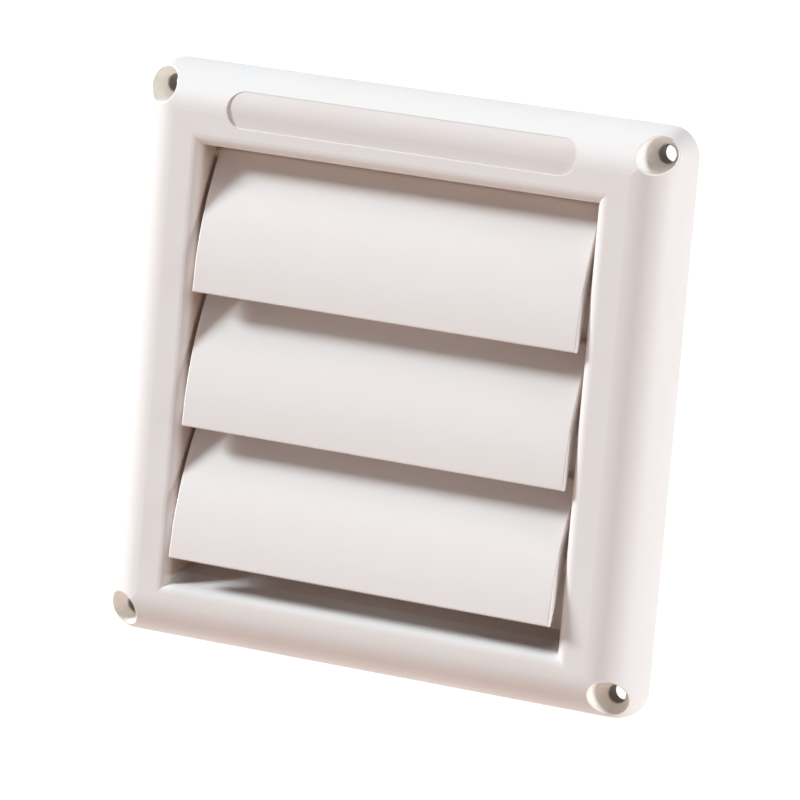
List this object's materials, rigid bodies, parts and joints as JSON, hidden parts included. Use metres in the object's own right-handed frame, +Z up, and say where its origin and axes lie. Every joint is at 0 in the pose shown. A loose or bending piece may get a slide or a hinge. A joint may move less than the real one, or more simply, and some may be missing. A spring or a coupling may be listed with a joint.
{
  "type": "dryer vent cap",
  "caption": "Square wall vent cap with a softened flange, a sloping sill, a round duct collar behind it and hanging louvres that swing open.",
  "frame": {"origin": "on the axis of the duct collar, in the plane of the wall, where the flange's back lies", "axes": "+X to the right seen from outside, +Y into the wall along the collar, +Z up; the louvres face -Y"},
  "size_m": [0.1524, 0.046, 0.1524],
  "materials": {
    "hood_plastic": "warm white moulded plastic, satin, very fine grain",
    "louvre_plastic": "warm white moulded plastic, a little smoother than the hood"
  },
  "bodies": {
    "hood": {"hood_body": "hood_plastic"},
    "top_louvre": {"top_louvre": "louvre_plastic"},
    "middle_louvre": {"middle_louvre": "louvre_plastic"},
    "bottom_louvre": {"bottom_louvre": "louvre_plastic"}
  },
  "joints": [
    {"name": "top_louvre_hinge", "type": "hinge", "parent": "hood", "child": "top_louvre", "pos_m": [0, -0.00522, 0.053], "axis": [-1, 0, 0], "range_deg": [0, 54]},
    {"name": "middle_louvre_hinge", "type": "hinge", "parent": "hood", "child": "middle_louvre", "pos_m": [0, -0.00522, 0.01761], "axis": [-1, 0, 0], "range_deg": [0, 54]},
    {"name": "bottom_louvre_hinge", "type": "hinge", "parent": "hood", "child": "bottom_louvre", "pos_m": [0, -0.00522, -0.01777], "axis": [-1, 0, 0], "range_deg": [0, 51]}
  ]
}
